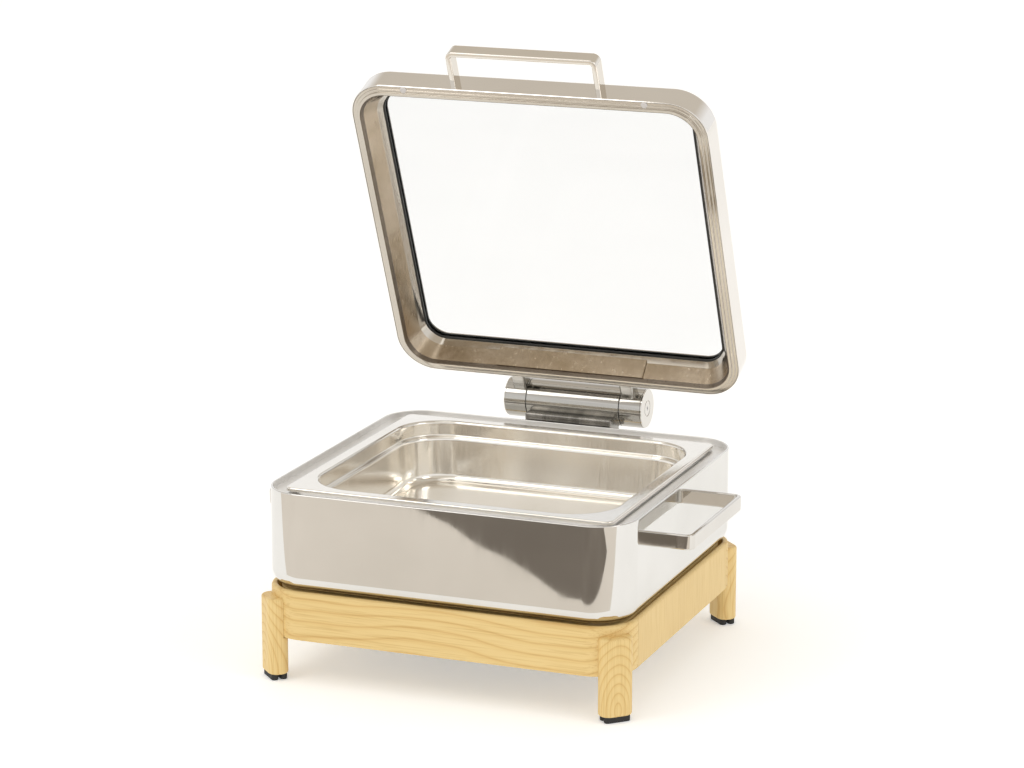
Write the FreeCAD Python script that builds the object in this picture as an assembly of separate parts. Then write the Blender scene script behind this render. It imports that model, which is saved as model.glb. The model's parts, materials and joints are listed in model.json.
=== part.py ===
import FreeCAD, Part
import math
import os

os.makedirs("parts", exist_ok=True)

# Square induction chafing dish on a low wooden stand, lid hinged at the back.
# Built about the centre of the body, then moved so that the origin is the centre of
# the whole footprint on the floor. X right, Y to the back, Z up, millimetres.

# ---- driving dimensions ----
FLANGE_TOP = 200.4      # top of the food pan flange above the floor
PAN_A = 177.0           # half width of the food pan flange
PAN_B = 162.5           # half depth of the food pan flange
PAN_DEPTH = 65.0
PAN_SHEET = 0.9
BODY_A = 197.8          # half width of the polished body
BODY_B = 184.0          # half depth of the polished body
BODY_R = 44.0           # vertical corner radius of the body
BODY_HEIGHT = 104.3     # lip down to the flat bottom
BODY_EDGE_R = 18.0      # bottom edge rounding
BODY_WALL = 1.5
LIP_HEM = 2.2
FOOTPRINT_Y = 27.75     # footprint centre behind the body centre (the hinge stands out)
GUTTER_DEPTH = 6.4      # from the lip down to the water gutter
STAND_OUT = 0.8         # apron outline beyond the body outline
APRON_TOP = 103.0       # distance below the flange top
APRON_BOTTOM = 155.0
APRON_THICK = 20.0
LEG_A = 17.3            # half section along the apron corner
LEG_B = 10.9            # half section across it
LEG_TOP = 113.0
LEG_BOTTOM = 194.0
HINGE_Y = 221.8
HINGE_Z = 15.4          # hinge axis above the flange top
HINGE_R = 22.0
HINGE_SPLIT = 54.0
HINGE_END = 78.5
SHAFT_R = 7.0
RUNNING_GAP = 0.05
BODY_GAP = 0.3          # between parts that move on each other
LID_OPEN = 66.7         # lid angle from closed, as modelled
LID_RIM = 1.5           # rim plane above the lip when closed
LID_HEIGHT = 34.5
LID_WALL = 29.0         # straight wall, then a shoulder rises to the window border
LID_WALL_R = 2.5
LID_SHOULDER = 12.0
LID_SHEET = 1.2
GLASS_INSET = 21.0
WINDOW_INSET = 26.5
GLASS_THICK = 4.0

V = FreeCAD.Vector
X_AXIS = V(1, 0, 0)
Y_AXIS = V(0, 1, 0)
Z_AXIS = V(0, 0, 1)


def outline(a, b, r, z, cy=0.0):
    """Closed wire: rectangle of half sizes a, b with corner radius r."""
    arcs = []
    corners = [(a - r, b - r, 0), (r - a, b - r, 90), (r - a, r - b, 180), (a - r, r - b, 270)]
    for x, y, start in corners:
        angles = [math.radians(start + step) for step in (0, 45, 90)]
        points = [V(x + r * math.cos(t), cy + y + r * math.sin(t), z) for t in angles]
        arcs.append(Part.Arc(*points).toShape())
    edges = []
    for i, arc in enumerate(arcs):
        following = arcs[(i + 1) % 4]
        edges.append(arc)
        edges.append(Part.makeLine(arc.Vertexes[-1].Point, following.Vertexes[0].Point))
    return Part.Wire(edges)


def block(a, b, r, z0, z1, cy=0.0):
    return Part.Face(outline(a, b, r, z0, cy)).extrude(V(0, 0, z1 - z0))


def ring(a, b, r, inset0, inset1, z0, z1, cy=0.0):
    """Vertical walled ring between two insets of one outline."""
    outer = block(a - inset0, b - inset0, max(r - inset0, 0.5), z0, z1, cy)
    inner = block(a - inset1, b - inset1, max(r - inset1, 0.5), z0 - 1, z1 + 1, cy)
    return outer.cut(inner)


def frustum(low, high, cy=0.0):
    """Solid between two outlines given as (a, b, r, z)."""
    wires = [outline(a, b, r, z, cy) for a, b, r, z in (low, high)]
    return Part.makeLoft(wires, True, True)


def edges_at(solid, z):
    found = []
    for edge in solid.Edges:
        box = edge.BoundBox
        if abs(box.ZMin - z) < 1e-4 and abs(box.ZMax - z) < 1e-4:
            found.append(edge)
    return found


def soft_block(a, b, r, z0, z1, edge_r, at, cy=0.0):
    solid = block(a, b, r, z0, z1, cy)
    return solid.makeFillet(edge_r, edges_at(solid, at))


def cylinder(r, length, start, axis):
    return Part.makeCylinder(r, length, start, axis)


def tube(r0, r1, length, start, axis):
    margin = axis * 1.0
    return cylinder(r1, length, start, axis).cut(cylinder(r0, length + 2, start - margin, axis))


def box(x0, x1, y0, y1, z0, z1):
    return Part.makeBox(x1 - x0, y1 - y0, z1 - z0, V(x0, y0, z0))


def fuse(shapes):
    return shapes[0].multiFuse(shapes[1:]).removeSplitter()


def mirrored(shape):
    return shape.mirror(V(0, 0, 0), X_AXIS)


def export(shape, node):
    placed = shape.copy()
    placed.translate(V(0, -FOOTPRINT_Y, 0))
    placed.exportStep("parts/" + node + ".step")


def export_group(shapes, node):
    export(Part.makeCompound(shapes), node)


def screw(head_r, head_h, shank_r, length, seat, direction):
    """Button head screw: seat is under the head, direction points into the thread."""
    shank = cylinder(shank_r, length, seat, direction)
    head = cylinder(head_r, head_h, seat - direction * head_h, direction)
    socket = cylinder(shank_r * 0.55, head_h * 0.6, seat - direction * (head_h + 0.01), direction)
    return fuse([head, shank]).cut(socket)


T = FLANGE_TOP
LIP = T
BODY_BOTTOM = LIP - BODY_HEIGHT


# ---- food pan: flange, stacking shoulder, tapered well ----
FLANGE_W = 14.4
FLANGE_R = 8.0
FLANGE_LIP = 3.7
SHOULDER_Z = 17.0
SHOULDER_IN = 4.6
WELL_R = 50.0


def pan_envelope(grow, top):
    """Well volume; grow moves every face outwards."""
    a = PAN_A - FLANGE_W + grow
    b = PAN_B - FLANGE_W + grow
    mouth = block(a, b, WELL_R + grow, T - SHOULDER_Z - grow, top)
    mouth = mouth.makeFillet(3.0 + grow, edges_at(mouth, T - SHOULDER_Z - grow))
    a1 = a - SHOULDER_IN
    b1 = b - SHOULDER_IN
    taper = 3.5
    base = T - PAN_DEPTH - grow
    low = (a1 - taper, b1 - taper, WELL_R - 4 + grow, base)
    high = (a1, b1, WELL_R - 4 + grow, T - SHOULDER_Z + 1)
    well = frustum(low, high)
    well = well.makeFillet(9.0 + grow, edges_at(well, base))
    return fuse([mouth, well])


flange = block(PAN_A, PAN_B, FLANGE_R, T - FLANGE_LIP, T)
flange = flange.makeFillet(1.6, edges_at(flange, T))
under = block(PAN_A - PAN_SHEET, PAN_B - PAN_SHEET, FLANGE_R - PAN_SHEET, T - FLANGE_LIP - 1, T - PAN_SHEET)
food_pan = fuse([flange.cut(under), pan_envelope(PAN_SHEET, T - 0.5)])
food_pan = food_pan.cut(pan_envelope(0.0, T + 1))
export(food_pan, "food_pan")


# ---- chafer body: polished shell, water pan, induction base ----
BASE_R = 112.0
BASE_CORE = 6.0
RIDGE_IN = 24.5
WATER_IN = 29.0
WATER_SHEET = 1.0
WATER_EDGE_R = 14.0
WATER_BOTTOM = BODY_BOTTOM + 0.8 + BASE_CORE

shell = soft_block(BODY_A, BODY_B, BODY_R, BODY_BOTTOM, LIP, BODY_EDGE_R, BODY_BOTTOM)
shell = shell.makeFillet(0.9, edges_at(shell, LIP))
inner_a = BODY_A - BODY_WALL
inner_b = BODY_B - BODY_WALL
inner_r = BODY_R - BODY_WALL
inner_floor = BODY_BOTTOM + BODY_WALL
hollow = soft_block(
    inner_a, inner_b, inner_r, inner_floor, LIP - GUTTER_DEPTH,
    BODY_EDGE_R - BODY_WALL, inner_floor)
mouth = block(BODY_A - LIP_HEM, BODY_B - LIP_HEM, BODY_R - LIP_HEM, LIP - GUTTER_DEPTH - 1, LIP + 1)
shell = shell.cut(hollow).cut(mouth)
shell = shell.cut(cylinder(BASE_R + 0.2, 10, V(0, 0, BODY_BOTTOM - 4), Z_AXIS))

gutter = LIP - GUTTER_DEPTH
gutter_low = gutter - WATER_SHEET
ridge_top = T - PAN_SHEET - BODY_GAP
well_a = BODY_A - WATER_IN
well_b = BODY_B - WATER_IN
well_r = 34.0
water = soft_block(well_a, well_b, well_r, WATER_BOTTOM, ridge_top, WATER_EDGE_R, WATER_BOTTOM)
water_in = soft_block(
    well_a - WATER_SHEET, well_b - WATER_SHEET, well_r - WATER_SHEET,
    WATER_BOTTOM + WATER_SHEET, ridge_top + 1, WATER_EDGE_R - WATER_SHEET, WATER_BOTTOM + WATER_SHEET)
ridge_out = RIDGE_IN - WATER_SHEET
water_pan = fuse([
    ring(BODY_A, BODY_B, BODY_R, BODY_WALL, RIDGE_IN, gutter_low, gutter),
    ring(BODY_A, BODY_B, BODY_R, ridge_out, RIDGE_IN, gutter_low, ridge_top),
    block(BODY_A - ridge_out, BODY_B - ridge_out, BODY_R - ridge_out, ridge_top - WATER_SHEET, ridge_top),
    water])
water_pan = water_pan.cut(water_in)
export(water_pan, "water_pan")

core = cylinder(BASE_R - 1.0, BASE_CORE, V(0, 0, WATER_BOTTOM - BASE_CORE), Z_AXIS)
export(core, "base_core")
cap = cylinder(BASE_R, BASE_CORE + 0.8, V(0, 0, BODY_BOTTOM), Z_AXIS)
cap = cap.makeFillet(0.6, edges_at(cap, BODY_BOTTOM))
export(cap.cut(core), "base_cap")

# side handles: flat strap bent to a U, ends welded to the flat wall
STRAP = 4.6
STRAP_TOP = 29.5
STRAP_LOW = 45.0
STRAP_OUT = 37.1
STRAP_HALF = 83.0
STRAP_R = 9.5


def strap_prism(reach, half, radius, x0):
    solid = box(x0, BODY_A + reach, -half, half, T - STRAP_LOW, T - STRAP_TOP)
    corners = []
    for edge in solid.Edges:
        at_end = abs(edge.BoundBox.XMin - (BODY_A + reach)) < 1e-4
        if at_end and edge.BoundBox.ZLength > 1 and edge.BoundBox.YLength < 1e-4:
            corners.append(edge)
    return solid.makeFillet(radius, corners)


strap = strap_prism(STRAP_OUT, STRAP_HALF, STRAP_R, BODY_A)
strap = strap.cut(strap_prism(STRAP_OUT - STRAP, STRAP_HALF - STRAP, STRAP_R - STRAP, BODY_A - 5))
strap_edges = []
for edge in strap.Edges:
    if edge.BoundBox.ZLength < 1e-4 and edge.BoundBox.XMax > BODY_A + 1:
        strap_edges.append(edge)
strap = strap.makeFillet(1.2, strap_edges)
export(strap, "side_handle_right")
export(mirrored(strap), "side_handle_left")

backing = []
for y in (-STRAP_HALF + STRAP / 2, STRAP_HALF - STRAP / 2):
    plate = box(inner_a - 2.0, inner_a, y - 14, y + 14, T - STRAP_LOW - 8, T - STRAP_TOP + 8)
    backing.append(plate)
    backing.append(mirrored(plate))
export_group(backing, "handle_backing_plates")

# hinge bracket: centre barrel and neck on a plate behind the rear wall
HZ = T + HINGE_Z
BRACKET_HALF = 52.0
BORE_R = 14.0
plate = box(-BRACKET_HALF, BRACKET_HALF, BODY_B, BODY_B + 5, LIP - 46, LIP - 4)
neck = box(-50, 50, BODY_B + 2, HINGE_Y - 6, LIP - 26, HZ - 8)
slope = Part.makePolygon([
    V(-60, BODY_B + 5, LIP - 40), V(-60, BODY_B + 60, LIP - 40),
    V(-60, BODY_B + 60, LIP - 2), V(-60, BODY_B + 5, LIP - 40)])
neck = neck.cut(Part.Face(slope).extrude(V(120, 0, 0)))
barrel = cylinder(HINGE_R, 2 * HINGE_SPLIT - 0.6, V(-HINGE_SPLIT + 0.3, HINGE_Y, HZ), X_AXIS)
bracket = fuse([plate, neck, barrel])
bore = cylinder(BORE_R, 4 * HINGE_SPLIT, V(-2 * HINGE_SPLIT, HINGE_Y, HZ), X_AXIS)
bracket = bracket.cut(bore)

screw_x = (-36.0, 36.0)
screw_z = (LIP - 38.0, LIP - 14.0)
backing_plate = box(-BRACKET_HALF, BRACKET_HALF, inner_b - 2.5, inner_b, LIP - 46, LIP - 9)
bracket_screws = []
for x in screw_x:
    for z in screw_z:
        start = V(x, inner_b - 2.5, z)
        bracket_screws.append(screw(4.4, 2.6, 2.5, 7.8, start, Y_AXIS))
        hole = cylinder(2.5, 7.8 + 2, start - Y_AXIS * 2, Y_AXIS)
        shell = shell.cut(hole)
        backing_plate = backing_plate.cut(hole)
        bracket = bracket.cut(hole)
export(shell, "body_shell")
export(bracket, "hinge_bracket")
export(backing_plate, "bracket_backing_plate")
export_group(bracket_screws, "bracket_screws")

bush_len = 12.0
bushes = []
for sign in (-1, 1):
    start = V(sign * (HINGE_SPLIT - 0.3), HINGE_Y, HZ)
    bushes.append(tube(SHAFT_R + RUNNING_GAP, BORE_R, bush_len, start, X_AXIS * -sign))
export_group(bushes, "hinge_bushes")
damper_half = 26.0
damper = tube(BORE_R - 2.0, BORE_R, 2 * damper_half, V(-damper_half, HINGE_Y, HZ), X_AXIS)
ends = []
for x in (-damper_half, damper_half - 2.5):
    ends.append(tube(SHAFT_R + RUNNING_GAP, BORE_R - 1, 2.5, V(x, HINGE_Y, HZ), X_AXIS))
export(fuse([damper] + ends), "damper_housing")


# ---- lid, modelled closed and then swung open about the hinge ----
LID_A = BODY_A
LID_B = BODY_B
LID_R = 41.0
Z0 = LIP + LID_RIM
ZTOP = Z0 + LID_HEIGHT
LID_REAR = LID_B
LID_FRONT = -LID_B


def swing(shape):
    turned = shape.copy()
    turned.rotate(V(0, HINGE_Y, HZ), X_AXIS, -LID_OPEN)
    return turned


def lid_envelope(inset, low, drop):
    """Straight wall and shoulder; inset and drop give the inside of the sheet."""
    a = LID_A - inset
    b = LID_B - inset
    r = LID_R - inset
    wall = block(a, b, r, low, Z0 + LID_WALL - drop)
    wall = wall.makeFillet(LID_WALL_R - drop, edges_at(wall, Z0 + LID_WALL - drop))
    step = LID_WALL_R * 0.7
    s = LID_SHOULDER
    shoulder = frustum((a - step, b - step, r - step, Z0 + LID_WALL - drop - 0.4), (a - s, b - s, r - s, ZTOP - drop))
    return fuse([wall, shoulder])


frame = lid_envelope(0.0, Z0, 0.0).cut(lid_envelope(LID_SHEET, Z0 - 1, LID_SHEET))
frame = frame.cut(block(LID_A - WINDOW_INSET, LID_B - WINDOW_INSET, 22.0, ZTOP - 5, ZTOP + 5))

# liner: stepped rim, then a slope up to the glass
RIM_W = 10.6
RIM_DROP = 3.3
LINER_END = 24.5
LINER_SHEET = 1.0
RIM_THICK = 2.2
rim_steps = [(LID_SHEET, 4.2, 0.0), (4.2, 7.4, 1.1), (7.4, RIM_W, RIM_DROP)]
liner_parts = []
for inset0, inset1, drop in rim_steps:
    liner_parts.append(ring(LID_A, LID_B, LID_R, inset0, inset1, Z0 - drop, Z0 + RIM_THICK))
slope_top = Z0 + 25.5
outer_slope = frustum(
    (LID_A - RIM_W + LINER_SHEET, LID_B - RIM_W + LINER_SHEET, 34.0, Z0 - RIM_DROP),
    (LID_A - LINER_END + LINER_SHEET, LID_B - LINER_END + LINER_SHEET, 25.0, slope_top))
inner_slope = frustum(
    (LID_A - RIM_W, LID_B - RIM_W, 33.0, Z0 - RIM_DROP),
    (LID_A - LINER_END, LID_B - LINER_END, 24.0, slope_top))
slope_cut = inner_slope.fuse(block(LID_A - LINER_END, LID_B - LINER_END, 24.0, slope_top - 1, slope_top + 9))
liner_parts.append(outer_slope)
liner_parts.append(ring(LID_A, LID_B, LID_R, LINER_END - 6.5, LINER_END, slope_top - 1, slope_top))
liner = fuse(liner_parts).cut(slope_cut)
clear = block(LID_A - RIM_W, LID_B - RIM_W, 33.0, Z0 - RIM_DROP - 1, Z0 - RIM_DROP)
liner = liner.cut(clear)

# glass held by a U gasket between liner and frame
glass_low = slope_top + 2.2
glass = block(LID_A - GLASS_INSET, LID_B - GLASS_INSET, 26.0, glass_low, glass_low + GLASS_THICK)
gasket = ring(LID_A, LID_B, 47.0, GLASS_INSET - 3, WINDOW_INSET, slope_top, ZTOP - LID_SHEET)
gasket = gasket.cut(glass)
export(swing(glass), "lid_glass")
export(swing(gasket), "glass_gasket")

# hinge knuckles: barrel ends with an arm bolted to the lid's rear wall
ARM_IN = 55.0
ARM_OUT = 70.0
ARM_LOW = Z0 + 3.0
ARM_HIGH = Z0 + 20.5
knuckle_len = HINGE_END - HINGE_SPLIT - 0.3
knuckle = cylinder(HINGE_R, knuckle_len, V(HINGE_SPLIT + 0.3, HINGE_Y, HZ), X_AXIS)
arm = box(ARM_IN, ARM_OUT, LID_REAR, HINGE_Y, ARM_LOW, ARM_HIGH)
arm_edges = []
for edge in arm.Edges:
    if edge.BoundBox.YLength > 5:
        arm_edges.append(edge)
arm = arm.makeFillet(2.5, arm_edges)
knuckle = fuse([knuckle, arm])
knuckle = knuckle.cut(cylinder(SHAFT_R, 200, V(0, HINGE_Y, HZ), X_AXIS))

stiffener_y = LID_REAR - LID_SHEET
stiffener = box(-84, 84, stiffener_y - 2.5, stiffener_y, Z0 + 3.5, Z0 + 19.0)
knuckle_screws = []
for x in (-62.5, 62.5):
    for z in (Z0 + 7.5, Z0 + 15.5):
        seat = V(x, stiffener_y - 2.5, z)
        knuckle_screws.append(screw(3.6, 2.4, 2.0, 12.0, seat, Y_AXIS))
        hole = cylinder(2.0, 14.0, seat - Y_AXIS * 2, Y_AXIS)
        frame = frame.cut(hole)
        stiffener = stiffener.cut(hole)
        if x > 0:
            knuckle = knuckle.cut(hole)
export(swing(knuckle), "hinge_knuckle_right")
export(swing(mirrored(knuckle)), "hinge_knuckle_left")
export(swing(stiffener), "hinge_stiffener")
export_group([swing(s) for s in knuckle_screws], "knuckle_screws")

shaft = cylinder(SHAFT_R, 2 * (HINGE_END - 3), V(-HINGE_END + 3, HINGE_Y, HZ), X_AXIS)
export(swing(shaft), "hinge_shaft")
rotor = tube(SHAFT_R, BORE_R - 2.0 - RUNNING_GAP, 2 * (damper_half - 3), V(-damper_half + 3, HINGE_Y, HZ), X_AXIS)
export(swing(rotor), "damper_rotor")

caps = []
cap_screws = []
for sign in (-1, 1):
    out = X_AXIS * sign
    face = V(sign * HINGE_END, HINGE_Y, HZ)
    disc = cylinder(HINGE_R - 0.6, 1.6, face, out)
    groove = tube(8.0, 9.2, 1.0, face + out * 0.9, out)
    hole = cylinder(2.5, 4.0, face - out * 1.0, out)
    caps.append(disc.cut(groove).cut(hole))
    body = cylinder(2.5, 1.6 + 3.0, face - out * 3.0, out)
    socket = cylinder(1.3, 1.2, face + out * 0.5, out)
    cap_screws.append(body.cut(socket))
export_group([swing(s) for s in caps], "hinge_end_caps")
export_group([swing(s) for s in cap_screws], "hinge_end_screws")

# cover plate over the hinge fixings, on the sloped liner
run = LINER_END - RIM_W
rise = slope_top - (Z0 - RIM_DROP)
lean = math.degrees(math.atan2(run, rise))
span = math.hypot(run, rise)
cover = box(-85, 85, -1.2, 0, 5.0, span - 5.0)
cover.rotate(V(0, 0, 0), X_AXIS, lean)
cover.translate(V(0, LID_REAR - RIM_W, Z0 - RIM_DROP))
export(swing(cover), "hinge_cover_plate")

# lid handle: U bar on the front wall
GRIP_OUT = 39.2
GRIP_THICK = 5.8
GRIP_HALF = 83.4
GRIP_LOW = Z0 + 9.0
GRIP_HIGH = Z0 + 25.0
GRIP_R = 8.0


def grip_prism(reach, half, radius, y0):
    solid = box(-half, half, LID_FRONT - reach, y0, GRIP_LOW, GRIP_HIGH)
    corners = []
    for edge in solid.Edges:
        at_end = abs(edge.BoundBox.YMin - (LID_FRONT - reach)) < 1e-4
        if at_end and edge.BoundBox.ZLength > 1 and edge.BoundBox.XLength < 1e-4:
            corners.append(edge)
    return solid.makeFillet(radius, corners)


grip = grip_prism(GRIP_OUT, GRIP_HALF, GRIP_R, LID_FRONT)
grip = grip.cut(grip_prism(GRIP_OUT - GRIP_THICK, GRIP_HALF - GRIP_THICK, GRIP_R - GRIP_THICK, LID_FRONT + 5))
grip_edges = []
for edge in grip.Edges:
    if edge.BoundBox.ZLength < 1e-4 and edge.BoundBox.YMin < LID_FRONT - 1:
        grip_edges.append(edge)
grip = grip.makeFillet(1.5, grip_edges)
grip_screws = []
for x in (-GRIP_HALF + GRIP_THICK / 2, GRIP_HALF - GRIP_THICK / 2):
    for z in (GRIP_LOW + 4.0, GRIP_HIGH - 4.0):
        seat = V(x, LID_FRONT + LID_SHEET, z)
        grip_screws.append(screw(3.4, 2.2, 1.6, 10.0, seat, Y_AXIS * -1))
        hole = cylinder(1.6, 12.0, seat + Y_AXIS * 2, Y_AXIS * -1)
        grip = grip.cut(hole)
        frame = frame.cut(hole)
export(swing(frame), "lid_frame")
export(swing(grip), "lid_handle")
export_group([swing(s) for s in grip_screws], "lid_handle_screws")

bumpers = []
for x in (-133.0, 133.0):
    top = V(x, LID_FRONT + 4.3, Z0)
    pad = cylinder(3.7, LID_RIM - BODY_GAP, top, Z_AXIS * -1)
    pad = pad.makeFillet(1.0, edges_at(pad, Z0 - LID_RIM + BODY_GAP))
    liner = liner.cut(pad)
    bumpers.append(swing(pad))
export(swing(liner), "lid_liner")
export_group(bumpers, "lid_bumpers")


# ---- wooden stand ----
WOOD_A = BODY_A + STAND_OUT
WOOD_B = BODY_B + STAND_OUT
WOOD_R = BODY_R + 0.5
BAND = 6.0
BAND_H = 13.0           # depth of the shadow groove behind the band
GROOVE = 5.0
INNER_DROP = 4.8        # inner edge of the boards below the band
wood_top = T - APRON_TOP
wood_low = T - APRON_BOTTOM

apron = ring(WOOD_A, WOOD_B, WOOD_R, 0, APRON_THICK, wood_low, wood_top)
rebate = block(WOOD_A - BAND, WOOD_B - BAND, WOOD_R - BAND, wood_top - INNER_DROP, wood_top + 1)
groove = ring(WOOD_A, WOOD_B, WOOD_R, BAND, BAND + GROOVE, wood_top - BAND_H, wood_top)
apron = apron.cut(rebate).cut(groove)

side_half = WOOD_B - WOOD_R
big = 400.0
side_zone = box(WOOD_A - APRON_THICK - 1, big, -side_half, side_half, 0, big)
sides = {}
sides["right"] = apron.common(side_zone)
sides["left"] = mirrored(sides["right"])
mid_zone = box(-big, big, -side_half, side_half, 0, big)
ends_shape = apron.cut(mid_zone)
for solid in ends_shape.Solids:
    if solid.CenterOfMass.y < 0:
        sides["front"] = solid
    else:
        sides["rear"] = solid

# dowels joining the side boards to the end boards
dowels = []
DOWEL_R = 4.0
DOWEL_HALF = 14.0
for sx in (-1, 1):
    for sy in (-1, 1):
        for z in (wood_low + 12.0, wood_top - 22.0):
            middle = V(sx * (WOOD_A - APRON_THICK / 2), sy * side_half, z)
            pin = cylinder(DOWEL_R, 2 * DOWEL_HALF, middle - Y_AXIS * DOWEL_HALF, Y_AXIS)
            dowels.append(pin)
            side = "right" if sx > 0 else "left"
            end = "rear" if sy > 0 else "front"
            sides[side] = sides[side].cut(pin)
            sides[end] = sides[end].cut(pin)

# cleats inside the apron carry the chafer on silicone pads
CLEAT_W = 22.0
CLEAT_H = 26.0
CLEAT_SCREW = 18.0
PAD_T = 2.5
pad_top = BODY_BOTTOM - BODY_GAP
cleat_top = pad_top - PAD_T
inner_x = WOOD_A - APRON_THICK
inner_y = WOOD_B - APRON_THICK
cleats = []
pads = []
cleat_screws = []
for sign in (-1, 1):
    y0, y1 = sorted((sign * inner_y, sign * (inner_y - CLEAT_W)))
    cleat = box(-148, 148, y0, y1, cleat_top - CLEAT_H, cleat_top)
    for x in (-80.0, 80.0):
        seat = V(x, sign * (inner_y - CLEAT_W), cleat_top - CLEAT_SCREW)
        direction = Y_AXIS * sign
        cleat_screws.append(screw(4.0, 2.2, 2.0, CLEAT_W + 12, seat, direction))
        hole = cylinder(2.0, CLEAT_W + 12 + 2, seat - direction * 2, direction)
        cleat = cleat.cut(hole)
        end = "rear" if sign > 0 else "front"
        sides[end] = sides[end].cut(hole)
        pads.append(box(x - 15, x + 15, y0 + 4, y1 - 4, cleat_top, pad_top))
    cleats.append(cleat)
    x0, x1 = sorted((sign * inner_x, sign * (inner_x - CLEAT_W)))
    cleat = box(x0, x1, -118, 118, cleat_top - CLEAT_H, cleat_top)
    for y in (-70.0, 70.0):
        seat = V(sign * (inner_x - CLEAT_W), y, cleat_top - CLEAT_SCREW)
        direction = X_AXIS * sign
        cleat_screws.append(screw(4.0, 2.2, 2.0, CLEAT_W + 12, seat, direction))
        hole = cylinder(2.0, CLEAT_W + 12 + 2, seat - direction * 2, direction)
        cleat = cleat.cut(hole)
        side = "right" if sign > 0 else "left"
        sides[side] = sides[side].cut(hole)
        pads.append(box(x0 + 4, x1 - 4, y - 15, y + 15, cleat_top, pad_top))
    cleats.append(cleat)
export_group(cleats, "support_cleats")
export_group(cleat_screws, "cleat_screws")
export_group(pads, "rest_pads")

# legs: notched over the apron corners, bolted from the inside
corner_x = WOOD_A - WOOD_R
corner_y = WOOD_B - WOOD_R
half_diag = WOOD_R * math.sqrt(0.5)
leg_top = T - LEG_TOP
leg_low = T - LEG_BOTTOM
FOOT_H = leg_low
FOOT_SHIFT = 4.8
leg_bolts = []
feet = []
for sx in (-1, 1):
    for sy in (-1, 1):
        centre = V(sx * (corner_x + half_diag), sy * (corner_y + half_diag), 0)
        turn = 45.0 if sx * sy < 0 else -45.0
        leg = block(LEG_A, LEG_B, LEG_B * 0.92, leg_low, leg_top)
        leg = leg.makeFillet(2.0, edges_at(leg, leg_low) + edges_at(leg, leg_top))
        leg.rotate(V(0, 0, 0), Z_AXIS, turn)
        leg.translate(centre)
        notch = block(WOOD_A, WOOD_B, WOOD_R, wood_low, wood_top + 5)
        leg = leg.cut(notch)
        outward = V(sx, sy, 0).normalize()
        for z in (leg_top - 12.0, wood_low + 10.0):
            seat = V(sx * corner_x, sy * corner_y, z) + outward * (WOOD_R - APRON_THICK)
            leg_bolts.append(screw(5.5, 3.5, 3.0, APRON_THICK + 7.0, seat, outward))
            hole = cylinder(3.0, APRON_THICK + 9.0, seat - outward * 2, outward)
            leg = leg.cut(hole)
            seat_cut = cylinder(6.0, 8.0, seat - outward * 8, outward)
            end = "rear" if sy > 0 else "front"
            sides[end] = sides[end].cut(hole).cut(seat_cut)
        for shift in (-FOOT_SHIFT, FOOT_SHIFT):
            foot = block(14.0, 3.8, 3.6, 0, FOOT_H)
            foot = foot.makeFillet(1.2, edges_at(foot, 0))
            foot.rotate(V(0, 0, 0), Z_AXIS, turn)
            foot.translate(centre + outward * shift)
            feet.append(foot)
        name = ("rear" if sy > 0 else "front") + "_" + ("right" if sx > 0 else "left")
        export(leg, "leg_" + name)
for name, solid in sides.items():
    export(solid, "apron_" + name)
export_group(dowels, "apron_dowels")
export_group(leg_bolts, "leg_bolts")
export_group(feet, "foot_pads")
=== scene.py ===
import json
import math

import bmesh
import bpy
from mathutils import Matrix, Vector


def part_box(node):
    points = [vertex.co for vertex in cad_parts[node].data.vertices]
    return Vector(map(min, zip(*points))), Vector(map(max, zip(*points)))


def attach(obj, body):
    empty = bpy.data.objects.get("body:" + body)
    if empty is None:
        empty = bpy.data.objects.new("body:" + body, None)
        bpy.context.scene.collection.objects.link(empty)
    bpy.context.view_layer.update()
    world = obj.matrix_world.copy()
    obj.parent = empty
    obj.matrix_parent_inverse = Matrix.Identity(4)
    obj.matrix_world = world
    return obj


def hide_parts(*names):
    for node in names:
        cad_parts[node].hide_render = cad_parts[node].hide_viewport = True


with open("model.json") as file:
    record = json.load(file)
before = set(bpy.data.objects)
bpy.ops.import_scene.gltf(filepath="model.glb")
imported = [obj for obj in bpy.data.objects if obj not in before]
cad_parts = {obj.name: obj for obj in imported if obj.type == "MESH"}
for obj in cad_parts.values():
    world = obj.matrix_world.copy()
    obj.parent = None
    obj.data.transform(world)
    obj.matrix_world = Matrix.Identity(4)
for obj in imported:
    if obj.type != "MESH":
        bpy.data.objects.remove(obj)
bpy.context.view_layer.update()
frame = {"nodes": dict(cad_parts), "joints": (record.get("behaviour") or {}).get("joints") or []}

MM = 0.001
JOINTS = {joint["name"]: joint for joint in frame["joints"]}
HINGE = JOINTS["lid_hinge"]
OPEN = math.radians(-HINGE["range_deg"][0])
AXIS = Vector(HINGE["pos_m"])

# the lid is drawn closed and swung open
SWING = Matrix.Translation(AXIS) @ Matrix.Rotation(-OPEN, 4, "X") @ Matrix.Translation(-AXIS)

body_lo, body_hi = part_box("body_shell")
A = (body_hi.x - body_lo.x) / 2
B = (body_hi.y - body_lo.y) / 2
CY = (body_hi.y + body_lo.y) / 2
LIP = body_hi.z
BODY_R = 44 * MM
CORNER_STEPS = 24


# ---------------------------------------------------------------- mesh helpers

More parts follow.
